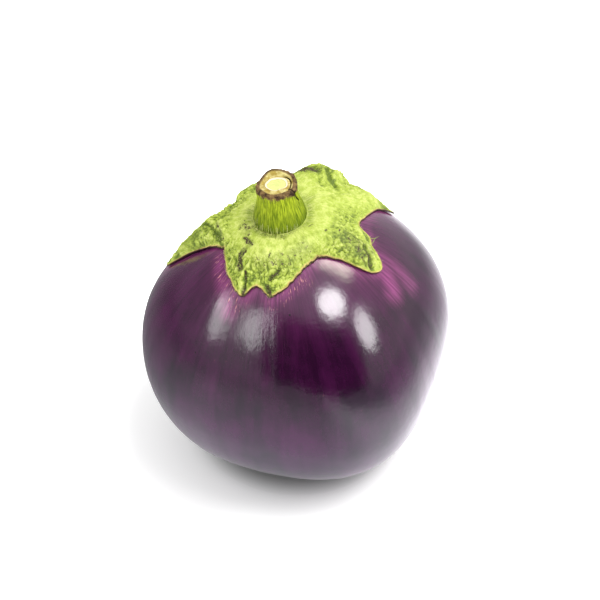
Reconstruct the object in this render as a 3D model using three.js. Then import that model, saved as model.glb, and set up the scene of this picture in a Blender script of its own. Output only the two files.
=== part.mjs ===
// A round violet eggplant as picked: the glossy fruit, its green calyx of six sepals and the cut stem.
// It stands on a small flat spot at the origin and leans a little forwards (-Y) and to the left (-X).
// Lengths are in millimetres and angles in degrees.
import * as THREE from "three";

const { cos, sin, tan, asin, acos, atan2, exp, sqrt, hypot, min, max, PI } = Math;
const { degToRad, radToDeg, euclideanModulo, smoothstep, lerp, clamp } = THREE.MathUtils;

// How the fruit stands: its own axis runs from the blossom end up to the stem.
const leanForward = 10.35;
const leanLeft = 5.77;
const centre = new THREE.Vector3(2.8, 1.6, 49.2);

// The fruit is a flattened globe about that centre, broad at the shoulders, with shallow uneven ribs.
const fruitRadius = 56;
const profileWaves = [0, 3.65, -1.85, 1.5, 0.65];
const ribs = [
  { count: 1, depth: 0.35, at: 36 },
  { count: 2, depth: 0.4, at: 62 },
  { count: 3, depth: 1.6, at: 61 },
  { count: 4, depth: 0.9, at: 14 },
  { count: 5, depth: 0.9, at: 11.5 },
];
const shoulderHollow = { depth: 5.6, width: 24, azimuth: 148, polar: 38 };
const stemDimple = { depth: 0.6, width: 12 };
const blossomDimple = { depth: 1.1, width: 5 };

// The calyx lies on the shoulders, a hair clear of the skin, with a hole that the stem stands in.
const clearance = 0.35;
const holeRadius = 10;
const edgeThickness = 1.0;
const fleshThickness = 1.7;
const collar = { height: 2.5, at: 14, width: 7 };
const sepalSwelling = 1.6;
const sepalWidth = 17;

// Each sepal's outline as [azimuth, polar angle] from its first notch round the tip; lift is how far
// its end stands off the skin.
const sepals = [
  { middle: 34, lift: 0.6, outline: [[5.5, 27.8], [12, 29.2], [20, 33.8], [29, 41.5], [33, 51], [35.5, 58],
    [39, 54], [43, 46]] },
  { middle: 66, lift: 4.7, outline: [[48, 40], [56, 45], [67, 48], [78, 45], [88, 37]] },
  { middle: 112, lift: 1.2, outline: [[97, 30], [104, 37], [112, 43], [119, 41], [125, 35]] },
  { middle: 158, lift: 0.4, outline: [[132, 31], [140, 37], [149, 47], [158, 58], [163.5, 60.5], [166, 50],
    [167.5, 43], [171, 36], [177.5, 28.3], [185, 24]] },
  { middle: 246, lift: 0.8, outline: [[192, 21.9], [204, 23.1], [216, 25.3], [226, 27.2], [232, 29.1],
    [238, 29.9], [246.5, 25.2], [252, 25.9], [259.5, 28], [267, 26.3], [276, 23.8], [284, 21.5],
    [297, 19.4]] },
  { middle: 340, lift: 1.0, outline: [[308, 18.9], [315, 20.1], [322, 23.3], [327, 27.2], [329.5, 31],
    [335, 36.9], [340, 38.7], [344, 38.2], [348, 35.7], [352, 32.8], [358, 31.6]] },
];

// Where the calyx buckled as it dried, and stands up off the skin in a hump.
const humps = [
  { azimuth: 156, polar: 30, height: 3.1, width: 16 },
  { azimuth: 127, polar: 30, height: 2.4, width: 5 },
  { azimuth: 50, polar: 40, height: 2.6, width: 4 },
];

// The stem: fluted, flared at its foot, leaning back towards upright, and cut across with a worn rim
// that stands highest at the back.
const stemLength = 16.2;
const stemRadius = 7;
const footFlare = 2.6;
const flareHeight = 8.5;
const stemBehindAxis = 1;
const stemLean = 10;
const flute = { count: 5, depth: 0.2, at: 40 };
const rimBevel = { width: 0.9, drop: 0.8 };
const backRise = 2.3;

// A bell of height 1 at nothing that has fallen to 1/e at the width.
function bell(away, width) {
  return exp(-((away / width) ** 2));
}

// The angle in degrees between a direction (in radians) and a spot given in degrees.
function angleFrom(spot, psi, phi) {
  const polar = degToRad(spot.polar);
  const across = sin(polar) * sin(psi) * cos(phi - degToRad(spot.azimuth));
  return radToDeg(acos(clamp(cos(polar) * cos(psi) + across, -1, 1)));
}

// Distance from the centre to the skin, towards polar angle psi and azimuth phi (both in radians).
function skinRadius(psi, phi) {
  let r = fruitRadius;
  profileWaves.forEach((height, k) => (r += height * cos(k * psi)));
  for (const { count, depth, at } of ribs) {
    const along = count === 1 ? sin(psi) * cos(psi) : sin(psi) ** 2;
    r += depth * along * cos(count * (phi - degToRad(at)));
  }
  r -= shoulderHollow.depth * bell(angleFrom(shoulderHollow, psi, phi), shoulderHollow.width);
  r -= stemDimple.depth * bell(radToDeg(psi), stemDimple.width);
  r -= blossomDimple.depth * bell(radToDeg(PI - psi), blossomDimple.width);
  return r;
}

// The point at a height above the skin, in the fruit's own axes with +Z towards the stem.
function overSkin(psi, phi, height) {
  const r = skinRadius(psi, phi) + height;
  return new THREE.Vector3(r * sin(psi) * cos(phi), r * sin(psi) * sin(phi), r * cos(psi));
}

// Moves every vertex of a closed geometry to where the formula puts it.
function reshape(geometry, formula) {
  const position = geometry.getAttribute("position");
  for (let i = 0; i < position.count; i++) {
    const p = formula(new THREE.Vector3().fromBufferAttribute(position, i));
    position.setXYZ(i, p.x, p.y, p.z);
  }
  geometry.computeVertexNormals();
  return geometry;
}

// All sepals' points in order round the stem. The outline through them is a smooth closed curve that
// never overshoots a tip or a notch: a monotone cubic.
const outline = sepals.flatMap((sepal) => sepal.outline).sort((a, b) => a[0] - b[0]);

function outlinePoint(i) {
  const turns = Math.floor(i / outline.length);
  const [azimuth, reach] = outline[i - turns * outline.length];
  return [azimuth + 360 * turns, reach];
}

function outlineSlope(i) {
  const [x0, y0] = outlinePoint(i - 1);
  const [x1, y1] = outlinePoint(i);
  const [x2, y2] = outlinePoint(i + 1);
  const before = (y1 - y0) / (x1 - x0);
  const after = (y2 - y1) / (x2 - x1);
  return before * after <= 0 ? 0 : (2 * before * after) / (before + after);
}

// The polar angle where the calyx ends at an azimuth.
function reachAt(phi) {
  const first = outline[0][0];
  const azimuth = first + euclideanModulo(radToDeg(phi) - first, 360);
  let i = 0;
  while (i + 1 < outline.length && outline[i + 1][0] <= azimuth) i++;
  const [x0, y0] = outlinePoint(i);
  const [x1, y1] = outlinePoint(i + 1);
  const span = x1 - x0;
  const s = (azimuth - x0) / span;
  const between = y0 * (1 + 2 * s) * (1 - s) ** 2 + y1 * s * s * (3 - 2 * s);
  const bend = outlineSlope(i) * s * (1 - s) ** 2 - outlineSlope(i + 1) * s * s * (1 - s);
  return degToRad(between + span * bend);
}

// How near an azimuth is to a sepal's middle, and how far the calyx stands off the skin there.
function sepalAt(phi) {
  let ridge = 0;
  let lift = 0;
  for (const sepal of sepals) {
    const away = euclideanModulo(radToDeg(phi) - sepal.middle + 180, 360) - 180;
    const near = bell(away, sepalWidth);
    ridge = max(ridge, near);
    lift += sepal.lift * near;
  }
  return { ridge, lift };
}

// The calyx's underside and top as heights above the skin; t runs from the hole, 0, to the outline, 1.
function calyxHeights(psi, phi, t) {
  const { ridge, lift } = sepalAt(phi);
  let risen = lift * smoothstep(t, 0.1, 0.65);
  for (const hump of humps) {
    risen += hump.height * bell(angleFrom(hump, psi, phi), hump.width) * smoothstep(t, 0.05, 0.4);
  }
  const under = clearance + risen * (1 - 0.75 * smoothstep(t, 0.75, 1));
  const ring = collar.height * bell(radToDeg(psi) - collar.at, collar.width);
  const swelling = sepalSwelling * ridge * sin(PI * t);
  const thickness = edgeThickness + (fleshThickness + ring + swelling) * (1 - t ** 3);
  return { under, top: under + thickness };
}

// The fruit: a sphere whose vertices are moved out to the skin and pressed flat where it stands.
function makeFruit() {
  const up = new THREE.Vector3(0, 0, 1).applyQuaternion(uprightTurn().invert());
  const sphere = new THREE.SphereGeometry(1, 64, 36);
  sphere.rotateX(PI / 2);
  return reshape(sphere, (p) => {
    const skin = overSkin(acos(clamp(p.z, -1, 1)), atan2(p.y, p.x), 0);
    const sunk = max(0, -(skin.dot(up) + centre.z));
    return skin.addScaledVector(up, sunk);
  });
}

// The calyx: a closed section turned into a ring, then stretched to the outline and laid on the skin.
function makeCalyx() {
  const topSteps = [0, 0.1, 0.2, 0.32, 0.44, 0.56, 0.68, 0.8, 0.9, 0.96, 1];
  const underSteps = [1, 0.85, 0.68, 0.5, 0.32, 0.15, 0];
  const section = [
    ...underSteps.map((t) => new THREE.Vector2(1 + t, 0)).reverse(),
    ...topSteps.map((t) => new THREE.Vector2(1 + t, 1)).reverse(),
  ];
  section.push(section[0].clone());
  const ring = new THREE.LatheGeometry(section, 144);
  ring.rotateX(PI / 2);
  return reshape(ring, (p) => {
    const phi = atan2(p.y, p.x);
    const t = clamp(hypot(p.x, p.y) - 1, 0, 1);
    const onTop = p.z > 0.5;
    const rough = lerp(degToRad(10), reachAt(phi), t);
    const heights = calyxHeights(rough, phi, t);
    const height = onTop ? heights.top : heights.under;
    const holeReach = stemBehindAxis * sin(phi) + sqrt(holeRadius ** 2 - (stemBehindAxis * cos(phi)) ** 2);
    const hole = asin(holeReach / (skinRadius(rough, phi) + height));
    return overSkin(lerp(hole, reachAt(phi), t), phi, height);
  });
}

// The stem: a turned profile with shallow flutes, bent back as it rises.
function makeStem() {
  const footAngle = asin((stemRadius + footFlare) / fruitRadius);
  const around = [0, 45, 90, 135, 180, 225, 270, 315].map(degToRad);
  const underFoot = around.map((phi) => overSkin(footAngle, phi, 0).z);
  const footHeight = max(overSkin(0, 0, 0).z, ...underFoot) + clearance;
  const outside = (z) => stemRadius + footFlare * exp(-((z / flareHeight) ** 3));
  const rim = outside(stemLength);
  const profile = [new THREE.Vector2(0, 0)];
  for (const share of [0, 0.15, 0.3, 0.45, 0.6, 0.75, 0.88]) {
    const z = share * stemLength;
    profile.push(new THREE.Vector2(outside(z), z));
  }
  profile.push(new THREE.Vector2(rim, stemLength - rimBevel.drop));
  profile.push(new THREE.Vector2(rim - rimBevel.width / 2, stemLength - rimBevel.drop / 3));
  profile.push(new THREE.Vector2(rim - rimBevel.width, stemLength));
  profile.push(new THREE.Vector2(0, stemLength));
  const turned = new THREE.LatheGeometry(profile, 40);
  turned.rotateX(PI / 2);
  return reshape(turned, (p) => {
    const share = max(0, p.z / stemLength);
    const turn = degToRad(stemLean) * share;
    const back = stemBehindAxis + stemLength * tan(degToRad(stemLean)) * share ** 1.5;
    const phi = atan2(p.y, p.x);
    const radius = hypot(p.x, p.y);
    const fluted = flute.depth * min(1, 2 * share) * cos(flute.count * (phi - degToRad(flute.at)));
    const out = radius * (1 + fluted / rim);
    const rise = backRise * max(0, sin(phi)) ** 2 * smoothstep(radius, 3.5, 6) * smoothstep(share, 0.7, 1);
    const y = out * sin(phi);
    const z = footHeight + p.z + rise - y * sin(turn);
    return new THREE.Vector3(out * cos(phi), back + y * cos(turn), z);
  });
}

function uprightTurn() {
  const turn = new THREE.Euler(degToRad(leanForward), degToRad(-leanLeft), 0);
  return new THREE.Quaternion().setFromEuler(turn);
}

function piece(name, geometry, color, roughness) {
  const mesh = new THREE.Mesh(geometry, new THREE.MeshStandardMaterial({ color, roughness }));
  mesh.name = name;
  return mesh;
}

const eggplant = new THREE.Group();
eggplant.quaternion.copy(uprightTurn());
eggplant.position.copy(centre);
eggplant.add(piece("fruit", makeFruit(), 0x3a1540, 0.22));
eggplant.add(piece("calyx", makeCalyx(), 0xa9c24a, 0.75));
eggplant.add(piece("stem", makeStem(), 0x9dbb3c, 0.7));

export default eggplant;
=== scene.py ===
"""A round violet eggplant as picked: the glossy fruit, its green calyx of six sepals and the cut stem.

Shapes are worked out in millimetres and degrees, and put into the meshes in metres.
"""

import bpy
import numpy as np
from mathutils import Euler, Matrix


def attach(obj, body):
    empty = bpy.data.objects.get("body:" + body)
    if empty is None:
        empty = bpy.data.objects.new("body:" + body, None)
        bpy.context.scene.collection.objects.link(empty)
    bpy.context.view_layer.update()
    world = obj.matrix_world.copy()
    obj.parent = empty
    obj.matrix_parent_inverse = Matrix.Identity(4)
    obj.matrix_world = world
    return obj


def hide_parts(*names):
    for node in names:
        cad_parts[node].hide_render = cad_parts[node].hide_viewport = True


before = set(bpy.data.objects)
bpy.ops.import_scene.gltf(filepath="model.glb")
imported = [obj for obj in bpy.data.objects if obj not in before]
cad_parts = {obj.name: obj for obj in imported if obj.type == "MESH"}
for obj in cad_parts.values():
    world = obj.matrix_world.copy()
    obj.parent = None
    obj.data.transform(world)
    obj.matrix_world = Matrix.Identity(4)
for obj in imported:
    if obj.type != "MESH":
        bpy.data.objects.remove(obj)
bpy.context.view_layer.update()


# The studio: a white paper table in a pale room that is dark behind the camera, with a lamp overhead.
# Soft boxes, three on the right and four on the left, light nothing and only show in the skin as its
# bright patches.
fruit_middle = np.array([2.8, 1.6, 49.2])
camera_distance = 542.6
camera_height_angle = 40
camera_tilt = 38.73
camera_turn = -0.08
camera = bpy.data.cameras.new("camera")
camera.lens = 85
camera.sensor_width = 36
camera_stand = bpy.data.objects.new("camera", camera)
to_camera = np.array([0, -np.cos(np.radians(camera_height_angle)), np.sin(np.radians(camera_height_angle))])
camera_stand.location = (fruit_middle + camera_distance * to_camera) / 1000
camera_stand.rotation_euler = Euler(np.radians([90 - camera_tilt, 0, camera_turn]))
bpy.context.scene.collection.objects.link(camera_stand)
bpy.context.scene.camera = camera_stand
bpy.context.scene.view_settings.view_transform = "Standard"


def link(tree, start, end):
    """Joins an output socket to an input socket."""
    tree.links.new(start, end)


def new_node(tree, kind, settings=(), **inputs):
    """Adds a shader node, sets its options, and sets or links the inputs named with _ for a space, or with
    n and their number."""
    made = tree.nodes.new("ShaderNode" + kind)
    for name, value in dict(settings).items():
        setattr(made, name, value)
    for name, value in inputs.items():
        key = int(name[1:]) if name[0] == "n" and name[1:].isdigit() else name.replace("_", " ")
        if isinstance(value, bpy.types.NodeSocket):
            link(tree, value, made.inputs[key])
        else:
            made.inputs[key].default_value = value
    return made


def math(operation, *values, clamp=False):
    """A Math node's output in the tree that is being built, with its inputs set or linked in order."""
    return new_node(tree, "Math", {"operation": operation, "use_clamp": clamp},
                    **{f"n{i}": value for i, value in enumerate(values)}).outputs[0]


def vector_math(operation, *values):
    """A Vector Math node's output: a number for a distance, a length or a product, or else a vector."""
    made = new_node(tree, "VectorMath", {"operation": operation},
                    **{f"n{i}": value for i, value in enumerate(values)})
    return made.outputs["Value" if operation in ("DISTANCE", "LENGTH", "DOT_PRODUCT") else "Vector"]


def part_of(vector, axis):
    """One of the three parts of a vector."""
    return new_node(tree, "SeparateXYZ", Vector=vector).outputs[axis]


def spread(value, low, high, start=0, end=1, smooth=False):
    """Maps low to start and high to end, and holds both ends. In between it goes straight or smoothly."""
    way = "SMOOTHSTEP" if smooth else "LINEAR"
    return new_node(tree, "MapRange", {"interpolation_type": way}, Value=value,
                    From_Min=low, From_Max=high, To_Min=start, To_Max=end).outputs[0]


def soft_box(name, azimuth, elevation, width, height, brightness, reflected_only=True, distance=900,
             shape="ELLIPSE", colour=(1, 1, 1), roll=0):
    """An area light at an azimuth from the camera's side, + to the right, that faces the fruit, turned by
    its roll. Its watts are its brightness times width times height times pi. One that is reflected only
    lights nothing."""
    lamp = bpy.data.lights.new(name, "AREA")
    lamp.shape = shape
    lamp.size = width / 1000
    lamp.size_y = height / 1000
    lamp.energy = brightness * np.pi * lamp.size * lamp.size_y
    lamp.color = colour
    stand = bpy.data.objects.new(name, lamp)
    a, e = np.radians([azimuth, elevation])
    away = np.array([np.sin(a) * np.cos(e), -np.cos(a) * np.cos(e), np.sin(e)])
    stand.location = (fruit_middle + distance * away) / 1000
    facing = Euler((np.pi / 2 - e, 0, a)).to_matrix() @ Euler((0, 0, np.radians(roll))).to_matrix()
    stand.rotation_euler = facing.to_euler()
    stand.visible_diffuse = not reflected_only
    bpy.context.scene.collection.objects.link(stand)
    return stand


soft_box("box right high", 44, 50, 520, 250, 17.5, roll=-6)
soft_box("box right low", 69.5, 26, 330, 290, 10)
soft_box("box left front", -38.8, 25, 145, 390, 5.6)
soft_box("box left middle", -45.8, 25.5, 85, 330, 3.8)
soft_box("box left side", -65.5, 20.5, 215, 380, 5.0, roll=36)
soft_box("box left end", -76, 28, 160, 210, 3.8)
soft_box("box above right", 99, 56.5, 200, 430, 17, shape="RECTANGLE", colour=(1, 0.97, 0.78))
overhead = soft_box("overhead", 75, 66, 700, 620, 5.0, False, distance=1100, shape="RECTANGLE")
overhead.visible_glossy = False

# The room's walls, with a brighter ceiling and a dark patch behind the camera. The patch ends where the
# fourth powers of the way from its middle, in its own widths, add up to about 1.
dark_patch = {"middle": (0.10, -0.96, 0.24), "widths": (0.66, 1, 0.40)}
towards_dim_side = (0.8, -0.6, 0)
room = bpy.data.worlds.new("room")
bpy.context.scene.world = room
room.use_nodes = True
tree = room.node_tree
tree.nodes.clear()
direction = new_node(tree, "TexCoord").outputs["Generated"]
wall = spread(vector_math("DOT_PRODUCT", direction, towards_dim_side), -1, -0.3, 0.35, 1.0)
bright = math("ADD", wall, spread(part_of(direction, "Z"), 0.6, 0.9, 0, 0.6))
away = vector_math("SUBTRACT", direction, dark_patch["middle"])
away = vector_math("MULTIPLY", away, tuple(1 / width for width in dark_patch["widths"]))
squared = vector_math("MULTIPLY", away, away)
outside = spread(vector_math("DOT_PRODUCT", squared, squared), 0.55, 1.35, 0.01, 1, smooth=True)
seen = math("MULTIPLY", bright, outside)
diffuse = new_node(tree, "LightPath").outputs["Is Diffuse Ray"]
strength = new_node(tree, "Mix", {"data_type": "FLOAT"}, n0=diffuse, n2=seen, n3=1.1)
sky = new_node(tree, "Background", Color=(1, 1, 1, 1), Strength=strength.outputs[0])
link(tree, sky.outputs[0], new_node(tree, "OutputWorld").inputs[0])

# The paper glows by its own emission, a painted glow held back round the fruit to leave a painted shadow
# drawn out to the left, and its colour is greyer round the foot as painted contact shade.
foot_spot = (0.003, 0.004, 0)
floor_mesh = bpy.data.meshes.new("floor")
floor_mesh.from_pydata([(-4, -4, 0), (4, -4, 0), (4, 4, 0), (-4, 4, 0)], [], [(0, 1, 2, 3)])
floor = bpy.data.objects.new("floor", floor_mesh)
bpy.context.scene.collection.objects.link(floor)
paper = bpy.data.materials.new("white floor")
paper.use_nodes = True
tree = paper.node_tree
surface = tree.nodes["Principled BSDF"]
surface.inputs["Roughness"].default_value = 0.9
surface.inputs["Specular IOR Level"].default_value = 0
surface.inputs["Emission Color"].default_value = (1, 1, 1, 1)
place = new_node(tree, "TexCoord").outputs["Object"]
across = part_of(place, "X")
from_foot = vector_math("DISTANCE", place, foot_spot)
# Painted contact shade: the paper is greyer within a few centimetres of the foot.
white = spread(from_foot, 0.033, 0.043, 0.43, 0.93)
white = new_node(tree, "CombineColor", n0=white, n1=white, n2=white).outputs[0]
link(tree, white, surface.inputs["Base Color"])
# The painted glow: none close to the foot and rising outwards, sooner on the right and later on the left, so
# that the painted shadow is drawn out to the left.
shifted = math("ADD", from_foot, spread(across, -0.02, 0.04, 0, 0.012, smooth=True))
shifted = math("ADD", shifted, spread(across, -0.05, -0.01, -0.02, 0, smooth=True))
clear = spread(shifted, 0.044, 0.088, 0, 0.75, smooth=True)
clear = math("ADD", clear, spread(from_foot, 0.033, 0.048, 0, 0.2, smooth=True))
link(tree, clear, surface.inputs["Emission Strength"])

# What the skin mirrors of the paper is a painted reflection: for mirrored rays only, the paper glows,
# brightest on the right, and dimmer far off and close to the foot.
glow_right = spread(across, 0, 0.09, 0, 1.5, smooth=True)
bearing = vector_math("DOT_PRODUCT", vector_math("NORMALIZE", place), towards_dim_side)
glow_front = spread(bearing, -1, -0.3, 0.35, 1.5)
glow_right = math("MULTIPLY", glow_right, spread(across, 0.09, 0.26, 1, -0.1, smooth=True))
glow_right = math("MULTIPLY", glow_right, spread(part_of(place, "Y"), 0.03, 0.10, 1, 0.2))
mirrored_glow = math("ADD", glow_right, glow_front)
distance = vector_math("LENGTH", place)
mirrored_glow = math("MULTIPLY", mirrored_glow, spread(distance, 0.12, 0.5, 1, 0.55))
mirrored_glow = math("MULTIPLY", mirrored_glow, spread(distance, 0.03, 0.07, 0.2, 1))
mirrored_paper_glow = new_node(tree, "Emission", Color=(0.97, 0.955, 1, 1), Strength=mirrored_glow)
either = new_node(tree, "MixShader", n0=new_node(tree, "LightPath").outputs["Is Glossy Ray"],
                  n1=surface.outputs[0], n2=mirrored_paper_glow.outputs[0])
link(tree, either.outputs[0], tree.nodes["Material Output"].inputs["Surface"])
floor_mesh.materials.append(paper)


# The fruit: one glossy berry, a flattened globe with shallow uneven ribs and a hollow in its back left
# shoulder. It leans a little forwards and to the left, and is pressed flat where it stands. Its skin is
# dark violet with a wax bloom, finely pitted, and magenta where the calyx shaded it.
lean = np.array(Euler(np.radians([10.35, -5.77, 0])).to_matrix())
fruit_radius = 56
profile_waves = [3.65, -1.85, 1.5, 0.65]
ribs = [(1, 0.35, 36), (2, 0.4, 62), (3, 1.6, 61), (4, 0.9, 14), (5, 0.9, 11.5)]
shoulder_hollow = {"azimuth": 148, "polar": 38, "depth": 5.6, "width": 24}
stem_dimple = {"depth": 0.6, "width": 12}
blossom_dimple = {"depth": 1.1, "width": 5}


def scatter(corner, seed):
    """A random value from 0 to 1 for each lattice corner, mixed from its three whole numbers."""
    x, y, z = np.moveaxis(corner, -1, 0)
    key = (x * 73856093 ^ y * 19349663 ^ z * 83492791 ^ seed * 26544357) & 0x7FFFFFFF
    key = (key ^ (key >> 13)) * 12741261 & 0x7FFFFFFF
    key = (key ^ (key >> 15)) * 22695477 & 0x7FFFFFFF
    return (key >> 8) % 65536 / 65535


def bumps(points, size, seed):
    """Smooth random heights from -1 to 1: a random value at each corner of a cubic lattice of that size,
    blended between the corners by a smooth step."""
    scaled = np.asarray(points, float) / size + 0.37 * seed
    corner = np.floor(scaled).astype(np.int64)
    part = scaled - corner
    part = part * part * (3 - 2 * part)
    total = np.zeros(scaled.shape[:-1])
    for step in np.ndindex(2, 2, 2):
        total += (2 * scatter(corner + step, seed) - 1) * np.prod(np.where(step, part, 1 - part), axis=-1)
    return total


def bell(away, width):
    """1 at nothing, and 1/e at the width."""
    return np.exp(-((away / width) ** 2))


def ease(x, start, end):
    """A smooth step from 0 at the start to 1 at the end."""
    s = np.clip((x - start) / (end - start), 0, 1)
    return s * s * (3 - 2 * s)


def angle_from(spot, psi, phi):
    """Angle in degrees from a spot's direction: the arc cosine of the product of two unit vectors."""
    polar, azimuth = np.radians(spot["polar"]), np.radians(spot["azimuth"])
    near = np.cos(polar) * np.cos(psi) + np.sin(polar) * np.sin(psi) * np.cos(phi - azimuth)
    return np.degrees(np.arccos(np.clip(near, -1, 1)))


def skin_radius(psi, phi):
    """Distance from the fruit's middle: the globe's radius, plus cosine waves of the polar angle psi, plus
    each rib's cosine of the azimuth phi, less the hollow and the dimples, which are bells."""
    r = fruit_radius + 0 * psi * phi
    for k, height in enumerate(profile_waves, 1):
        r = r + height * np.cos(k * psi)
    for count, depth, at in ribs:
        along = np.sin(psi) * np.cos(psi) if count == 1 else np.sin(psi) ** 2
        r = r + depth * along * np.cos(count * (phi - np.radians(at)))
    r = r - shoulder_hollow["depth"] * bell(angle_from(shoulder_hollow, psi, phi), shoulder_hollow["width"])
    r = r - stem_dimple["depth"] * bell(np.degrees(psi), stem_dimple["width"])
    return r - blossom_dimple["depth"] * bell(180 - np.degrees(psi), blossom_dimple["width"])


def wrapped(down, phi):
    """A place in a pattern that closes round the axis: the azimuth's cosine and sine, and the way down."""
    return np.stack([np.cos(phi) + 0 * down, np.sin(phi) + 0 * down, down + 0 * phi], -1)


def over_skin(psi, phi, height):
    """The point at a height over the skin, in the fruit's own axes with the third towards the stem."""
    r = skin_radius(psi, phi) + height
    return np.stack([r * np.sin(psi) * np.cos(phi), r * np.sin(psi) * np.sin(phi), r * np.cos(psi)], -1)


def distance_to(points, path):
    """Distance in millimetres from points on the skin to a line drawn on it through azimuths and polar
    angles: the least distance to its straight parts."""
    azimuth, polar = np.radians(np.array(path, float)).T
    corners = over_skin(polar, azimuth, 0)
    least = np.full(points.shape[:-1], 1e9)
    for start, end in zip(corners[:-1], corners[1:]):
        run = end - start
        share = np.clip((points - start) @ run / (run @ run), 0, 1)
        least = np.minimum(least, np.linalg.norm(points - start - share[..., None] * run, axis=-1))
    return least


def standing(points):
    """Turns points from the fruit's axes to the room's, and lifts what would sink into the floor."""
    placed = points @ lean.T + fruit_middle
    placed[..., 2] = np.maximum(placed[..., 2], 0)
    return placed


def round_piece(name, grid, material, tip_first=False, tip_last=False, **values):
    """A mesh from a grid of points whose columns go round once: a quad between each four neighbours, and at
    a closed end a fan of triangles round the mean of that end's row. Values are stored per point."""
    rows, columns = grid.shape[:2]
    points = grid.reshape(-1, 3)
    number = np.arange(rows * columns).reshape(rows, columns)
    after = np.roll(number, -1, axis=1)
    quads = np.stack([number[:-1], number[1:], after[1:], after[:-1]], -1).reshape(-1, 4).tolist()
    stored = {key: value.reshape(rows * columns, -1) for key, value in values.items()}
    fans = []
    for closed, row in [(tip_first, 0), (tip_last, rows - 1)]:
        if closed:
            tip = len(points)
            points = np.vstack([points, points[number[row]].mean(0)])
            stored = {key: np.vstack([value, value[number[row]].mean(0)]) for key, value in stored.items()}
            first, second = (number[row], after[row]) if row == 0 else (after[row], number[row])
            fans += np.stack([np.full(columns, tip), first, second], -1).tolist()
    mesh = bpy.data.meshes.new(name)
    mesh.from_pydata((points / 1000).tolist(), [], quads + fans)
    mesh.polygons.foreach_set("use_smooth", [True] * len(mesh.polygons))
    for key, value in stored.items():
        kind, field = ("FLOAT", "value") if value.shape[1] == 1 else ("FLOAT_VECTOR", "vector")
        mesh.attributes.new(key, kind, "POINT").data.foreach_set(field, value.astype(np.float32).ravel())
    mesh.materials.append(material)
    made = bpy.data.objects.new(name, mesh)
    bpy.context.scene.collection.objects.link(made)
    return made


# Each sepal's middle, how far it lifts off the skin, and its outline as azimuth and polar angle from one
# notch round its tip to the next. The fruit needs them because its skin is paler round the calyx.
sepals = [
    (34, 0.6, [(5.5, 27.8), (12, 29.2), (20, 33.8), (29, 41.5), (33, 51), (35.5, 58), (39, 54), (43, 46)]),
    (66, 4.7, [(48, 40), (56, 45), (67, 48), (78, 45), (88, 37)]),
    (112, 1.2, [(97, 30), (104, 37), (112, 43), (119, 41), (125, 35)]),
    (158, 0.4, [(132, 31), (140, 37), (149, 47), (158, 58), (163.5, 60.5), (166, 50), (167.5, 43), (171, 36),
                (177.5, 28.3), (185, 24)]),
    (246, 0.8, [(192, 21.9), (204, 23.1), (216, 25.3), (226, 27.2), (232, 29.1), (238, 29.9), (246.5, 25.2),
                (252, 25.9), (259.5, 28), (267, 26.3), (276, 23.8), (284, 21.5), (297, 19.4)]),
    (340, 1.0, [(308, 18.9), (315, 20.1), (322, 23.3), (327, 27.2), (329.5, 31), (335, 36.9), (340, 38.7),
                (344, 38.2), (348, 35.7), (352, 32.8), (358, 31.6)]),
]


def reach_at(phi):
    """Polar angle in radians where the calyx ends: a monotone cubic through the outline's points, whose slope
    at a point is the harmonic mean of the slopes beside it, and 0 at a tip or notch."""
    outline = np.array(sorted(point for sepal in sepals for point in sepal[2]))
    x = np.concatenate([outline[-2:, 0] - 360, outline[:, 0], outline[:3, 0] + 360])
    y = np.concatenate([outline[-2:, 1], outline[:, 1], outline[:3, 1]])
    slope = np.diff(y) / np.diff(x)
    before, after = slope[:-1], slope[1:]
    turning = before * after <= 0
    bend = np.where(turning, 0, 2 * before * after / np.where(turning, 1, before + after))
    azimuth = np.degrees(phi) % 360
    i = np.clip(np.searchsorted(x, azimuth, side="right") - 1, 1, len(x) - 3)
    span = x[i + 1] - x[i]
    s = (azimuth - x[i]) / span
    between = y[i] * (1 + 2 * s) * (1 - s) ** 2 + y[i + 1] * s * s * (3 - 2 * s)
    return np.radians(between + span * (bend[i - 1] * s * (1 - s) ** 2 - bend[i] * s * s * (1 - s)))


skin_columns, skin_rows = 480, 200
phi = np.linspace(0, 2 * np.pi, skin_columns, endpoint=False)[None, :]
psi = np.linspace(0, np.pi, skin_rows + 2)[1:-1, None]
around = wrapped(psi, phi)
furrows = 0.11 * bumps(around * [1, 1, 0.22], 0.16, 3) + 0.06 * bumps(around * [1, 1, 0.2], 0.07, 4)
furrows = furrows + 0.02 * bumps(around * [1, 1, 0.15], 0.032, 5)
skin = over_skin(psi, phi, furrows * np.sin(psi) ** 2)

rim_phi = np.linspace(0, 2 * np.pi, 720, endpoint=False)
rim = over_skin(reach_at(rim_phi), rim_phi, 0)
gap = np.stack([np.linalg.norm(row[:, None] - rim[None], axis=-1).min(1) for row in skin])
below_rim = np.where(psi > reach_at(phi), gap, 0)

# Paler streaks under the calyx's edge: strength, width, and a line through azimuths and polar angles.
blush_streaks = [
    (1.0, 4.5, [(345, 36), (341, 42), (336, 47)]),
    (0.7, 3.5, [(350, 36), (350, 44), (347, 54)]),
    (0.8, 4.0, [(196, 24), (212, 27), (226, 31), (232, 36)]),
    (0.4, 3.0, [(236, 31), (246, 28), (258, 29)]),
    (0.5, 3.0, [(272, 27), (284, 25), (292, 22)]),
    (0.6, 2.5, [(2, 32), (8, 31), (16, 33)]),
]
blush = 0.55 * bell(below_rim, 2.5) + 0.3 * np.exp(-below_rim / 9)
for strength, width, path in blush_streaks:
    blush = np.maximum(blush, strength * bell(distance_to(skin, path), width))
fleck_zone = bell(distance_to(skin, [(197, 25), (212, 27), (228, 31), (236, 33)]), 3.0)
fleck_zone = fleck_zone + bell(distance_to(skin, [(262, 31), (270, 27), (286, 24)]), 2.2)

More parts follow.
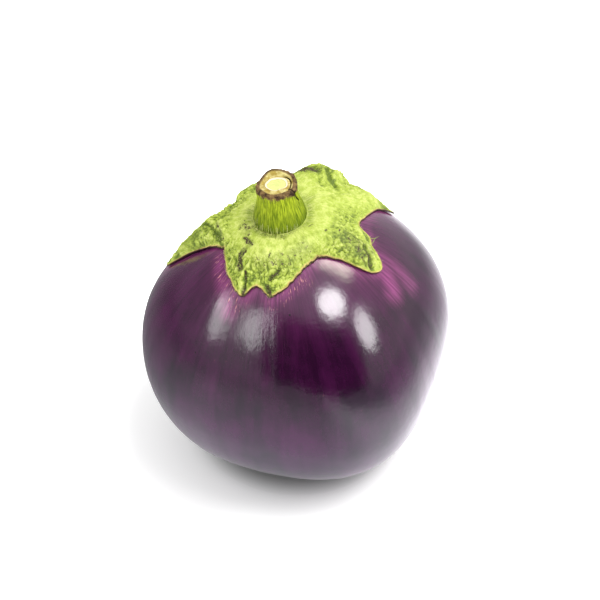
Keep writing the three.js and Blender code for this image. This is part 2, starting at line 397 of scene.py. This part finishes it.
violet = bpy.data.materials.new("violet skin")
violet.use_nodes = True
tree = violet.node_tree
surface = tree.nodes["Principled BSDF"]
place = new_node(tree, "TexCoord").outputs["Object"]
peel = new_node(tree, "Attribute", {"attribute_name": "around"}).outputs["Vector"]
blushing = new_node(tree, "Attribute", {"attribute_name": "blush"}).outputs["Fac"]
flecking = new_node(tree, "Attribute", {"attribute_name": "fleck_zone"}).outputs["Fac"]


def noise(where, scale, detail=4, roughness=0.55, stretch=None):
    """A noise texture's factor, its pattern drawn out where stretch is below 1."""
    if stretch:
        where = new_node(tree, "Mapping", Vector=where, Scale=stretch).outputs[0]
    return new_node(tree, "TexNoise", Vector=where, Scale=scale, Detail=detail,
                    Roughness=roughness).outputs["Fac"]


def mixed(share, first, second):
    """One colour blended into another."""
    first, second = [(*c, 1) if isinstance(c, tuple) and len(c) == 3 else c for c in (first, second)]
    return new_node(tree, "Mix", {"data_type": "RGBA"}, n0=share, n6=first, n7=second).outputs[2]


streaks = noise(peel, 9, 6, 0.6, (1, 1, 0.25))
fine_streaks = noise(peel, 45, 4, 0.6, (1, 1, 0.08))
cloud = noise(place, 35, 5, 0.55)
tone = spread(math("ADD", cloud, math("MULTIPLY", streaks, 0.6)), 0.66, 0.98)
sunk = spread(part_of(peel, "Z"), 1.1, 1.7)
upper = mixed(tone, (0.012, 0.0006, 0.011), (0.045, 0.0035, 0.036))
lower = mixed(tone, (0.007, 0.0010, 0.014), (0.042, 0.005, 0.044))
deep = mixed(sunk, upper, lower)
blush_tone = math("MULTIPLY", blushing, spread(fine_streaks, 0.36, 0.64, 0.4, 1.0), clamp=True)
pink = mixed(blush_tone, deep, (0.27, 0.050, 0.18))
fleck_noise = noise(peel, 70, 3, 0.6, (1, 1, 0.3))
flecks = math("MULTIPLY", flecking, spread(fleck_noise, 0.60, 0.68), clamp=True)
freckled = mixed(flecks, pink, (0.62, 0.24, 0.24))
dots = new_node(tree, "TexVoronoi", Vector=place, Scale=95)
chosen = spread(part_of(dots.outputs["Color"], "X"), 0.80, 0.81)
speck = math("MULTIPLY", spread(dots.outputs["Distance"], 0.045, 0.03), chosen)
specked = mixed(speck, freckled, (0.004, 0.002, 0.003))
scar = spread(noise(peel, 34, 5, 0.7, (1, 1, 0.45)), 0.69, 0.75, 0, 0.5)
link(tree, mixed(scar, specked, (0.26, 0.07, 0.10)), surface.inputs["Base Color"])
surface.inputs["Roughness"].default_value = 0.145
surface.inputs["IOR"].default_value = 1.5
wrinkles = noise(place, 480, 4, 0.6)
near_calyx = new_node(tree, "Attribute", {"attribute_name": "near_calyx"}).outputs["Fac"]
relief = new_node(tree, "Bump", Strength=0.6, Distance=0.00009, Height=wrinkles)
scored = math("MULTIPLY", noise(peel, 90, 3, 0.6, (1, 1, 0.05)), spread(near_calyx, 0, 1, 0.25, 0.9))
relief = new_node(tree, "Bump", Strength=0.5, Distance=0.0001, Height=scored, Normal=relief.outputs[0])
link(tree, relief.outputs[0], surface.inputs["Normal"])

fruit = round_piece("eggplant_skin", standing(skin), violet, tip_first=True, tip_last=True,
                    around=around, blush=blush, fleck_zone=fleck_zone, near_calyx=np.exp(-below_rim / 7))
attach(fruit, "root")
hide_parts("fruit")


# The calyx: one fleshy green piece of six sepals that lies on the shoulders. Its top is blistered between
# veins, its margin is thin and dried brown, and it closes round the foot of the stem. Its colour also carries
# painted shade: in the hollows of its relief, in a dark line under its rim, and beside the stem's foot.
clearance = 0.25
edge_thickness = 0.55
flesh_thickness = 2.0
collar = {"height": 2.5, "at": 14, "width": 7}
sepal_swelling = 1.6
sepal_width = 17
humps = [
    {"azimuth": 156, "polar": 30, "height": 3.1, "width": 16},
    {"azimuth": 127, "polar": 30, "height": 2.4, "width": 5},
    {"azimuth": 50, "polar": 40, "height": 2.6, "width": 4},
]
stem_behind_axis = 1
hole_radius = 9.3
smooth_stretches = [[(30, 20), (28, 30), (28, 40)], [(78, 17), (66, 22)]]

# Folds, as how far they rise, their width, and a line through azimuths and polar angles.
creases = [
    (0.9, 0.8, [(237.1, 20.3), (234.5, 22.7), (233.9, 25.4), (237.3, 27.5), (238.9, 28.8)]),
    (-0.8, 0.5, [(236.5, 21.5), (238.5, 24.3), (239.5, 27.4)]),
    (0.7, 0.7, [(275, 23.7), (268.7, 23.0), (262.3, 23.1), (257.7, 24.2)]),
    (-0.7, 0.6, [(266.5, 19.8), (262.2, 21.2), (258.2, 22.7), (256.8, 24), (257.5, 27)]),
    (1.1, 1.2, [(1.2, 25.3), (354.1, 27.6), (346.7, 29.8), (342.2, 32.2), (340.2, 35.3)]),
    (-0.9, 0.7, [(342.6, 28.9), (339.2, 31.0), (336.7, 32.8), (335.2, 34.5)]),
    (-0.7, 0.8, [(160, 30), (168, 25), (178, 22.5), (188, 22)]),
    (0.6, 1.2, [(170, 21), (182, 19), (190, 19)]),
    (-0.8, 1.0, [(60, 31), (52, 27), (44, 26)]),
    (-0.6, 0.8, [(68, 30), (58, 24), (50, 21)]),
    (0.6, 1.2, [(57, 36), (50, 30), (42, 28)]),
]

# Scars and darker patches, as strength, width and line. Most are scars and their halos. The patch left of the
# stem's foot and the band round the hole at its front left are painted shadow of the stem. The two broad
# patches in front and to the front right are partly greener colour and partly painted shade.
scar_and_shade_patches = [
    (1, 0.45, [(210.5, 13.6), (216.8, 13.1), (229.8, 13.8)]),
    (0.6, 1.3, [(212, 13.4), (228, 13.8)]),
    (1, 0.4, [(225.1, 16.5), (224.9, 18.5), (222.6, 19.9), (228.6, 20.4), (232.8, 22)]),
    (1, 0.35, [(219, 18.2), (222.6, 19.9)]),
    (0.7, 1.5, [(222, 16.5), (224, 20), (229, 22)]),
    (1, 0.4, [(266.5, 19.8), (262.2, 21.2), (258.2, 22.7)]),
    (0.6, 1.2, [(266.5, 19.8), (260, 22.2)]),
    (0.9, 0.9, [(257, 24.6), (258, 26.3), (260, 27.6)]),
    (1, 0.35, [(236.5, 22), (238.5, 24.3), (239.8, 27.6)]),
    (0.9, 0.8, [(239, 26.6), (239.5, 28.6)]),
    (1, 0.4, [(339.2, 31.0), (336.7, 32.8), (335.2, 34.5)]),
    (0.6, 1.4, [(341, 29.5), (336.7, 33.5)]),
    (1, 0.3, [(333.5, 15.5), (334.5, 15.6)]),
    (1, 0.3, [(341.5, 19.2), (342.5, 19.4)]),
    # Painted shadow of the stem, left of its foot.
    (0.45, 2.6, [(186, 11.5), (196, 11.8), (206, 12)]),
    (0.95, 2.4, [(78, 28), (72, 27.6), (67, 27.2)]),
    (0.9, 0.6, [(152, 42), (155, 44)]),
    # Partly greener colour and partly painted shade, in front and to the front right.
    (0.42, 4, [(250, 18), (275, 17), (300, 15)]),
    (0.46, 4.5, [(338, 24), (338, 31)]),
    # Painted shadow of the stem, round the hole at its front left.
    (0.5, 1.8, [(200, 9), (225, 8.8), (250, 8.6), (275, 8.6)]),
    (0.5, 0.9, [(186.6, 20.5), (178, 20.8), (168, 22.5), (158.3, 23.9)]),
]


def calyx_heights(psi, phi, t):
    """Heights of the calyx's underside and top over the skin; t runs from the stem, 0, to the outline, 1.
    The underside rises under each sepal by its lift times a bell of the azimuth, and in each hump, and comes
    down to a quarter of that at the outline. The top is higher by the thickness: thin at the outline, with a
    ring round the stem and a swelling along each sepal."""
    near = [bell((np.degrees(phi) - middle + 180) % 360 - 180, sepal_width) for middle, _, _ in sepals]
    risen = sum(sepal[1] * n for sepal, n in zip(sepals, near)) * ease(t, 0.1, 0.65)
    for hump in humps:
        risen = risen + hump["height"] * bell(angle_from(hump, psi, phi), hump["width"]) * ease(t, 0.05, 0.4)
    under = clearance + risen * (1 - 0.75 * ease(t, 0.75, 1))
    ring = collar["height"] * bell(np.degrees(psi) - collar["at"], collar["width"])
    swelling = sepal_swelling * np.max(near, axis=0) * np.sin(np.pi * np.clip(t, 0, 1))
    return under, under + edge_thickness + (flesh_thickness + ring + swelling) * (1 - t ** 3)


def domes(points, size, seed):
    """Rounded lumps from 0 to 1 with narrow creases: one seed lies at random in each cube of a lattice of
    that size, and the height is the root of how much farther the second nearest seed is than the nearest."""
    scaled = points / size
    corner = np.floor(scaled).astype(np.int64)
    nearest, second = np.full((2, *scaled.shape[:-1]), 9.0)
    for step in np.ndindex(3, 3, 3):
        cube = corner + step - 1
        inside = np.stack([scatter(cube, seed + i) for i in range(3)], -1)
        far = np.linalg.norm(cube + inside - scaled, axis=-1)
        second = np.minimum(second, np.maximum(nearest, far))
        nearest = np.minimum(nearest, far)
    return np.sqrt(np.clip((second - nearest) / 0.55, 0, 1))


leaf_columns = 900
phi = np.linspace(0, 2 * np.pi, leaf_columns, endpoint=False)[None, :]
wave = bumps(wrapped(0, phi), 0.045, 11)
reach = reach_at(phi) + np.radians(0.3) * wave
top_t = np.concatenate([np.linspace(0, 0.88, 78), np.linspace(0.88, 1, 17)[1:]])[:, None]
under_t = np.linspace(1, 0, 12)[:, None]


def calyx_points(t, on_top):
    """Polar angle and height of the calyx's top or underside, t of the way from the hole to the outline."""
    rough = np.radians(10) + (reach - np.radians(10)) * t
    under, top = calyx_heights(rough, phi, t)
    height = top if on_top else under
    hole = stem_behind_axis * np.sin(phi) + np.sqrt(hole_radius ** 2 - (stem_behind_axis * np.cos(phi)) ** 2)
    first = np.arcsin(hole / (skin_radius(rough, phi) + height))
    return first + (reach - first) * t, height


psi, height = calyx_points(top_t, True)
ground = over_skin(psi, phi, 0)
warp = 1.1 * np.stack([bumps(ground, 2.6, seed) for seed in (41, 42, 43)], -1)
rumpled = ground + warp + 0.35 * np.stack([bumps(ground, 0.8, seed) for seed in (44, 45, 46)], -1)
blister = 0.55 * domes(rumpled, 2.1, 21) + 0.45 * domes(rumpled, 1.15, 25)
blister = blister * (0.75 + 0.35 * bumps(ground, 4, 27)) + 0.12 * bumps(ground, 0.6, 24) - 0.55
lumps = bumps(ground, 7, 23)
crinkled = ease(np.degrees(psi), 13.5, 20)
for path in smooth_stretches:
    crinkled = crinkled * (1 - 0.65 * bell(distance_to(ground, path), 7))
to_margin = (1 - top_t) * (psi[-1:] - psi[:1]) * fruit_radius
margin = ease(to_margin, 0.3, 2.3)
folding = np.zeros_like(height)
for rise, width, path in creases:
    folding = folding + rise * bell(distance_to(ground, path), width)
relief_height = blister * (0.12 + 0.88 * crinkled) * margin
height = height + 1.5 * relief_height + 1.0 * lumps * crinkled * margin + folding * ease(to_margin, 0, 0.8)
height = height - 0.3 * (1 - ease(to_margin, 0, 0.35)) + 0.05 * bumps(ground, 0.9, 29)
top = over_skin(psi, phi, height)
psi_under, height_under = calyx_points(under_t, False)
under = over_skin(psi_under, phi, np.minimum(height_under, calyx_points(under_t, True)[1] - 0.35))
calyx_grid = np.concatenate([top, under, top[:1]], 0)

marked = np.zeros_like(height)
for strength, width, path in scar_and_shade_patches:
    marked = np.maximum(marked, strength * bell(distance_to(ground, path), width))
beneath = np.ones((len(under_t) + 1, leaf_columns))
to_margin = np.concatenate([to_margin, -beneath], 0)
# The relief kept for the colour also takes in the folds, so that their valleys get painted shade.
relief_height = np.concatenate([relief_height + 0.5 * folding, 0 * beneath], 0)
# The underside and the rim's outer wall get a darker mark, for the dark line under the rim, which is partly
# the margin's own colour and partly painted shade.
marked = np.concatenate([marked, 0.6 * beneath], 0)
lobed = np.concatenate([crinkled, beneath], 0)
fuzz_map = np.concatenate([wrapped(psi, phi), wrapped(psi_under, phi), wrapped(psi[:1], phi)], 0)

leaf = bpy.data.materials.new("fleshy calyx")
leaf.use_nodes = True
tree = leaf.node_tree
surface = tree.nodes["Principled BSDF"]
place = new_node(tree, "TexCoord").outputs["Object"]
high = new_node(tree, "Attribute", {"attribute_name": "relief"}).outputs["Fac"]
inward = new_node(tree, "Attribute", {"attribute_name": "to_margin"}).outputs["Fac"]
scar_and_shade = new_node(tree, "Attribute", {"attribute_name": "marked"}).outputs["Fac"]
on_lobe = new_node(tree, "Attribute", {"attribute_name": "lobed"}).outputs["Fac"]
radial = new_node(tree, "Attribute", {"attribute_name": "radial"}).outputs["Vector"]
mottle = noise(place, 420, 5, 0.65)
patches = noise(place, 90, 4, 0.55)
speckle = noise(place, 1500, 3, 0.6)
fuzz = noise(radial, 60, 5, 0.7, (1, 1, 0.3))
# Painted shade: the green is darker where the relief is low, in the hollows between blisters and in the
# folds' valleys, most of all on the sepals.
painted_hollow_shade = math("MULTIPLY", spread(high, 0.05, -0.42), spread(on_lobe, 0, 1, 0.3, 1))
green = math("ADD", math("MULTIPLY", painted_hollow_shade, 0.95), math("MULTIPLY", spread(mottle, 0.38, 0.62), 0.36))
green = math("ADD", math("MULTIPLY", spread(patches, 0.35, 0.68), 0.16), green)
green = math("ADD", math("MULTIPLY", spread(fuzz, 0.38, 0.66), 0.36), green)
green = math("ADD", math("MULTIPLY", spread(speckle, 0.35, 0.65), 0.16), green)
green = math("ADD", math("MULTIPLY", on_lobe, 0.08), green)
pale = mixed(spread(green, 0.32, 0.72), (0.585, 0.65, 0.165), (0.40, 0.50, 0.055))
leafy = mixed(spread(green, 0.72, 1.38), pale, (0.10, 0.155, 0.004))
edge_noise = math("ADD", inward, math("MULTIPLY", math("SUBTRACT", mottle, 0.5), 0.9))
edge_noise = math("ADD", edge_noise, math("MULTIPLY", math("SUBTRACT", patches, 0.52), 1.2))
dried = mixed(spread(mottle, 0.40, 0.60), (0.62, 0.48, 0.14), (0.34, 0.20, 0.06))
tan_rim = mixed(spread(edge_noise, 1.0, 0.6), leafy, dried)
# A dark red-brown line just inside the edge and on its wall: partly the dried margin's colour, partly painted
# shade under the rim.
maroon = mixed(spread(edge_noise, 0.42, 0.24), tan_rim, (0.045, 0.012, 0.010))
scar_noise = math("ADD", scar_and_shade, math("MULTIPLY", math("SUBTRACT", noise(place, 650, 4, 0.7), 0.5), 3.2))
# Dark olive where the mask is: halos round the scars, and painted shade in the patches by the stem's foot, in
# front of it and under the rim.
shade_noise = math("ADD", scar_and_shade, math("MULTIPLY", math("SUBTRACT", mottle, 0.5), 1.2))
shaded = mixed(spread(shade_noise, 0.15, 0.75, 0, 0.8), maroon, (0.08, 0.11, 0.005))
scar_share = math("MULTIPLY", spread(scar_noise, 0.55, 0.8), spread(scar_and_shade, 0.05, 0.3))
scarred = mixed(scar_share, shaded, (0.055, 0.036, 0.012))
link(tree, scarred, surface.inputs["Base Color"])
surface.inputs["Roughness"].default_value = 0.6
surface.inputs["Specular IOR Level"].default_value = 0.3
leaf_bump = new_node(tree, "Bump", Strength=0.6, Distance=0.0002, Height=noise(place, 1100, 4, 0.6))
leaf_bump = new_node(tree, "Bump", Strength=0.5, Distance=0.0002, Height=fuzz, Normal=leaf_bump.outputs[0])
link(tree, leaf_bump.outputs[0], surface.inputs["Normal"])

calyx = round_piece("eggplant_calyx", standing(calyx_grid), leaf, to_margin=to_margin, relief=relief_height,
                    marked=marked, lobed=lobed, radial=fuzz_map)
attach(calyx, "root")
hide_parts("calyx")


# The calyx's fuzz: short dry hairs that stand and lean at random, thickest towards the edge. Each is a
# narrow strip that tapers to its tip, in dried or green plant fibre.
hairs = 5200


def ribbons(name, node, middles, sideways, shares):
    """Many narrow strips in one mesh: each has a row of middle points, and its two edges lie to the sides of
    them. Each has a share from 0 to 1 that its colour is picked by."""
    count, joints = middles.shape[:2]
    points = np.stack([middles - sideways, middles + sideways], 2).reshape(-1, 3)
    number = np.arange(len(points)).reshape(count, joints, 2)
    quads = np.stack([number[:, :-1, 0], number[:, 1:, 0], number[:, 1:, 1], number[:, :-1, 1]], -1)
    quads = quads.reshape(-1, 4)
    mesh = bpy.data.meshes.new(name)
    mesh.from_pydata((standing(points) / 1000).tolist(), [], quads.tolist())
    mesh.attributes.new("picked", "FLOAT", "POINT").data.foreach_set("value", np.repeat(shares, joints * 2))
    mesh.materials.append(straw)
    made = bpy.data.objects.new(name, mesh)
    bpy.context.scene.collection.objects.link(made)
    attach(made, "root")
    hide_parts(node)


straw = bpy.data.materials.new("dried fibres")
straw.use_nodes = True
tree = straw.node_tree
surface = tree.nodes["Principled BSDF"]
picked = new_node(tree, "Attribute", {"attribute_name": "picked"}).outputs["Fac"]
dark_or_green = mixed(spread(picked, 0.2, 0.4), (0.06, 0.085, 0.004), (0.26, 0.36, 0.02))
pale_or_green = mixed(spread(picked, 0.55, 0.75), dark_or_green, (0.66, 0.68, 0.22))
link(tree, mixed(spread(picked, 1.2, 1.4), pale_or_green, (0.05, 0.025, 0.015)), surface.inputs["Base Color"])
surface.inputs["Roughness"].default_value = 0.6

dice = np.random.default_rng(7)
hair_rows = len(top_t) - 1
at_row = (hair_rows * dice.beta(1.3, 0.8, hairs)).astype(int)
at_column = dice.integers(0, leaf_columns, hairs)
root = top[at_row, at_column]
upwards = root / np.linalg.norm(root, axis=-1, keepdims=True)
leaning = dice.normal(0, 0.75, (hairs, 3)) + upwards
leaning = leaning / np.linalg.norm(leaning, axis=-1, keepdims=True)
hair_share = np.linspace(0, 1, 4)[None, :, None]
hair_length = dice.uniform(0.35, 1.15, hairs)[:, None, None]
middles = root[:, None] + leaning[:, None] * hair_share * hair_length
middles = middles + upwards[:, None] * 0.25 * hair_length * np.sin(np.pi * 0.8 * hair_share)
across_hair = np.cross(leaning, upwards + [0.01, 0.02, 0])
across_hair = across_hair / np.linalg.norm(across_hair, axis=-1, keepdims=True)
ribbons("eggplant_calyx_fuzz", "calyx", middles, 0.035 * across_hair[:, None] * (1.05 - hair_share),
        dice.uniform(0.35, 1, hairs))

# The calyx's threads: torn fibres of its dried edge, three of them curled in the notch beside the right
# sepal, one off a tip, and two short dark ones that lie on the top. Each is a strip along a line, given as
# its half width, the share that its colour is picked by, and azimuths, polar angles and heights.
threads = [
    (0.16, 1.5, [(31.5, 48, 0.8), (32.9, 50.6, 0.9), (34, 54, 1.0),
                 (35, 57, 1.6), (36.3, 60, 2.9), (37.5, 62.5, 5.0)]),
    (0.06, 0.5, [(351, 31.0, 1.0), (357, 29.0, 1.2), (358.5, 29.2, 1.0),
                 (357.8, 30.3, 0.7), (359.2, 33.4, 0.8), (0.5, 34, 1.3)]),
    (0.06, 0.5, [(355, 30.0, 1.0), (357.5, 31.5, 0.9), (358.5, 32.5, 0.7),
                 (359, 33.2, 0.9), (359.6, 33.9, 1.0), (1, 34.6, 1.6)]),
    (0.07, 0.5, [(359.5, 33.6, 0.8), (355, 32.6, 1.2), (351, 31.9, 1.5),
                 (348.1, 31.4, 2.2), (345, 31.2, 3.0), (342, 31.1, 3.4)]),
    (0.14, 1.5, [(236.2, 14.6, 4.6), (236.6, 14.8, 5.1), (237, 15.0, 5.5),
                 (237.5, 15.3, 5.8), (238, 15.6, 6.0), (238.5, 16, 6.1)]),
    (0.14, 1.5, [(326, 10.4, 5.6), (327, 10.6, 6.0), (328, 10.8, 6.3),
                 (329, 11.0, 6.5), (330, 11.3, 6.6), (331, 11.6, 6.6)]),
]
narrowing = [[[1], [1], [0.9], [0.8], [0.65], [0.4]]]
azimuths, polars, heights = np.array([path for _, _, path in threads], float).transpose(2, 0, 1)
middles = over_skin(np.radians(polars), np.radians(azimuths), heights)
widths = np.array([width for width, _, _ in threads])[:, None, None] * narrowing
along = np.gradient(middles, axis=1)
across_thread = np.cross(along, middles)
across_thread = across_thread / np.linalg.norm(across_thread, axis=-1, keepdims=True)
ribbons("eggplant_calyx_threads", "calyx", middles, across_thread * widths,
        np.array([share for _, share, _ in threads]))


# The stem: the cut stub of the fruit's stalk, fibrous and fluted, flared at its foot, with a corky rim
# round the cut face, where bark, soft cortex, a pale ring of wood and the pith show. On the right a crack
# curves between the wood and the rim, and from its front end runs out over the rim and down the side.
stem_length = 16.2
stem_radius = 7
foot_flare = 2.6
flare_height = 8.5
stem_lean = 10
foot_clearance = 0.35
rim_bevel = {"width": 0.9, "drop": 0.8}
back_rise = 2.3
wood_radius = 3.9
flute = {"count": 5, "depth": 0.2, "at": 40}
face_crack = {"radius": 5.2, "at": -25, "width": 0.22, "depth": 0.9}
side_crack = {"at": -39, "turn_per_mm": 4.2, "width": 0.30, "depth": 0.8}

stem_columns, side_rows = 480, 96
phi = np.linspace(0, 2 * np.pi, stem_columns, endpoint=False)[None, :]
side_z = np.linspace(0, stem_length - rim_bevel["drop"], side_rows)[:, None]
side_r = stem_radius + foot_flare * np.exp(-((side_z / flare_height) ** 3))
rim_r = stem_radius + foot_flare * np.exp(-((stem_length / flare_height) ** 3))
bend = np.linspace(0, np.pi / 2, 9)[1:, None]
bevel_r = rim_r - rim_bevel["width"] * (1 - np.cos(bend))
bevel_z = stem_length - rim_bevel["drop"] * (1 - np.sin(bend))
face_r = np.linspace(rim_r - rim_bevel["width"], 0.12, 62)[1:, None]
profile_r = np.concatenate([side_r, bevel_r, face_r])
profile_z = np.concatenate([side_z, bevel_z, np.full_like(face_r, stem_length)])
steps = np.hypot(np.diff(profile_r, axis=0), np.diff(profile_z, axis=0))
walked = np.concatenate([[[0]], np.cumsum(steps, axis=0)])
down_side = walked[len(side_z) + 3] - walked
ring = wrapped(profile_z / 7, phi)
fibre = bumps(ring * [1, 1, 0.10], 0.10, 31) * 0.16 + bumps(ring * [1, 1, 0.15], 0.045, 32) * 0.10
ragged = bumps(ring * [1, 1, 0], 0.22, 33) * 0.5 + bumps(ring * [1, 1, 0], 0.09, 34) * 0.5
cork = bumps(ring, 0.12, 36) * 0.6 + bumps(ring, 0.06, 37) * 0.4
bark = bell(down_side - 0.6, 1.3 + 0.5 * ragged)
fluting = np.cos(flute["count"] * (phi - np.radians(flute["at"])))
fluting = flute["depth"] * np.minimum(1, 2 * profile_z / stem_length) * fluting
out = profile_r * (1 + fluting / rim_r) + fibre * ease(down_side, 0.5, 2)
out = out + bark * (0.30 + 0.35 * cork) * (profile_r > 5.4)
on_face = ease(-down_side, 0.7, 1.2)
grain = bumps(np.stack([profile_r * np.cos(phi), profile_r * np.sin(phi), 0 * phi * profile_r], -1), 0.9, 35)
face_height = -0.35 + 0.15 * grain + 0.30 * bell(profile_r - wood_radius, 0.45)
face_height = on_face * (face_height - 0.12 * bell(profile_r - 4.8, 0.35))
turn = np.degrees(phi)
off_arc = (turn - face_crack["at"] + 180) % 360 - 180
arc_radius = face_crack["radius"] + 0.25 * np.sin(4 * phi) - 0.5 * ease(off_arc, 0, 80)
arc = bell(profile_r - arc_radius, face_crack["width"])
arc = arc * ease(off_arc, -16, -10) * (1 - ease(off_arc, 75, 90))
line_at = side_crack["at"] + side_crack["turn_per_mm"] * np.clip(down_side, 0, 9)
off_line = (turn - line_at + 180) % 360 - 180
line = bell(off_line * np.radians(1) * np.maximum(profile_r, 3), side_crack["width"])
line = line * (1 - ease(down_side, 5, 7.5)) * (profile_r > 5.1)
cracked = np.maximum(arc * on_face, line)
face_height = face_height - face_crack["depth"] * cracked * on_face
out = out - side_crack["depth"] * cracked * (1 - on_face)
rise = back_rise * np.maximum(0, np.sin(phi)) ** 2 * ease(profile_r, 3.5, 6)
rise = rise * ease(profile_z / stem_length, 0.7, 1)
lifted = profile_z + face_height + rise + 0.3 * bark * cork * (profile_z > 12)

footing = np.radians(np.arange(0, 360, 45))
foot_angle = np.arcsin((stem_radius + foot_flare) / fruit_radius)
highest = max(over_skin(np.array(0.0), np.array(0.0), 0)[2], over_skin(foot_angle, footing, 0)[:, 2].max())
foot_height = highest + foot_clearance
share = np.maximum(0, profile_z / stem_length)
turning = np.radians(stem_lean) * share
back = stem_behind_axis + stem_length * np.tan(np.radians(stem_lean)) * share ** 1.5
y = out * np.sin(phi)
z = foot_height + lifted - y * np.sin(turning)
stem_grid = np.stack([out * np.cos(phi), back + y * np.cos(turning), z], -1)

stalk = bpy.data.materials.new("cut stalk")
stalk.use_nodes = True
tree = stalk.node_tree
surface = tree.nodes["Principled BSDF"]
place = new_node(tree, "TexCoord").outputs["Object"]
down = new_node(tree, "Attribute", {"attribute_name": "down_side"}).outputs["Fac"]
from_pith = new_node(tree, "Attribute", {"attribute_name": "from_pith"}).outputs["Fac"]
split = new_node(tree, "Attribute", {"attribute_name": "cracked"}).outputs["Fac"]
unrolled = new_node(tree, "Attribute", {"attribute_name": "unrolled"}).outputs["Vector"]
fibres = noise(unrolled, 16, 5, 0.65, (1, 1, 0.12))
blotch = noise(place, 500, 5, 0.65)
side_green = mixed(spread(fibres, 0.36, 0.62), (0.075, 0.125, 0.001), (0.37, 0.45, 0.018))
foot_shade = mixed(spread(down, 7, 14, 0, 0.9), side_green, (0.085, 0.14, 0.004))
cork_colour = mixed(spread(blotch, 0.38, 0.64), (0.035, 0.018, 0.010), (0.25, 0.155, 0.06))
bark_edge = math("ADD", down, math("MULTIPLY", math("SUBTRACT", blotch, 0.5), 7.5))
side_colour = mixed(spread(bark_edge, 1.2, 2.3), cork_colour, foot_shade)
cortex = mixed(spread(blotch, 0.42, 0.58), (0.42, 0.31, 0.07), (0.68, 0.60, 0.25))
face_noise = math("ADD", from_pith, math("MULTIPLY", math("SUBTRACT", blotch, 0.5), 0.7))
face_colour = mixed(spread(face_noise, 5.9, 5.5), cork_colour, cortex)
ring_edge = mixed(spread(face_noise, 4.2, 4.05), face_colour, (0.42, 0.28, 0.07))
wood = mixed(spread(from_pith, 4.0, 3.85), ring_edge, (0.84, 0.82, 0.58))
pith_line = mixed(spread(face_noise, 3.35, 3.25), wood, (0.55, 0.50, 0.16))
pith = mixed(spread(face_noise, 3.12, 3.02), pith_line, (0.68, 0.72, 0.26))
stalk_colour = mixed(spread(down, -0.55, -0.35), pith, side_colour)
split_colour = mixed(spread(split, 0.25, 0.5), stalk_colour, (0.03, 0.02, 0.008))
link(tree, split_colour, surface.inputs["Base Color"])
surface.inputs["Roughness"].default_value = 0.6
surface.inputs["Specular IOR Level"].default_value = 0.08
stalk_bump = new_node(tree, "Bump", Strength=0.7, Distance=0.0003, Height=fibres)
stalk_bump = new_node(tree, "Bump", Strength=0.6, Distance=0.0002, Height=blotch,
                      Normal=stalk_bump.outputs[0])
link(tree, stalk_bump.outputs[0], surface.inputs["Normal"])

stem = round_piece("eggplant_stem", standing(stem_grid)[::-1], stalk, tip_first=True, tip_last=True,
                   down_side=(down_side + 0 * phi)[::-1], from_pith=(profile_r + 0 * phi)[::-1],
                   cracked=cracked[::-1], unrolled=ring[::-1])
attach(stem, "root")
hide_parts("stem")


# The stem's fibres: fine strands that come loose from its side and run down over the foot onto the calyx.
# Each is a narrow strip that wanders a little, dark ones mostly at the front left.
strands, joints = 700, 10
start_height = dice.uniform(0.5, 6.5, strands)[:, None]
gone = np.linspace(0, 1, joints) * (start_height + dice.uniform(0.1, 2.8, strands)[:, None])
wander = bumps(np.stack([gone * 0.4 + 9 * start_height, 0 * gone, 0 * gone], -1), 1.5, 51)
turn = dice.uniform(0, 360, strands)[:, None] + 5 * wander
at_turn = turn % 360 / 360
stem_row = np.clip((start_height - gone) / stem_length * side_rows, 0, side_rows - 1).round().astype(int)
stem_spot = stem_grid[stem_row, (at_turn * stem_columns).astype(int) % stem_columns]
outwards = np.stack([np.cos(np.radians(turn)), np.sin(np.radians(turn)), 0.1 + 0 * turn], -1)
walked_top = np.concatenate([[0], np.cumsum(np.linalg.norm(np.diff(top, axis=0), axis=-1).mean(1))])
leaf_row = np.interp(np.clip(gone - start_height, 0, None) + 0.6, walked_top, np.arange(len(top)))
leaf_spot = top[leaf_row.round().astype(int), (at_turn * leaf_columns).astype(int) % leaf_columns]
leaf_spot = leaf_spot + [0, 0, 0.08]
middles = np.where((gone < start_height)[..., None], stem_spot + 0.10 * outwards, leaf_spot)
half_width = dice.uniform(0.04, 0.11, strands)[:, None] * np.sin(np.pi * np.linspace(0.1, 0.92, joints))
sideways = np.stack([-np.sin(np.radians(turn)), np.cos(np.radians(turn)), 0 * turn], -1)
sideways = sideways * half_width[..., None]
picks = dice.uniform(0.1, 0.85, strands)
picks = np.maximum(picks, 0.45 - 0.4 * bell((turn[:, 0] - 245 + 180) % 360 - 180, 50))
ribbons("eggplant_stem_fibres", "stem", middles, sideways, picks)
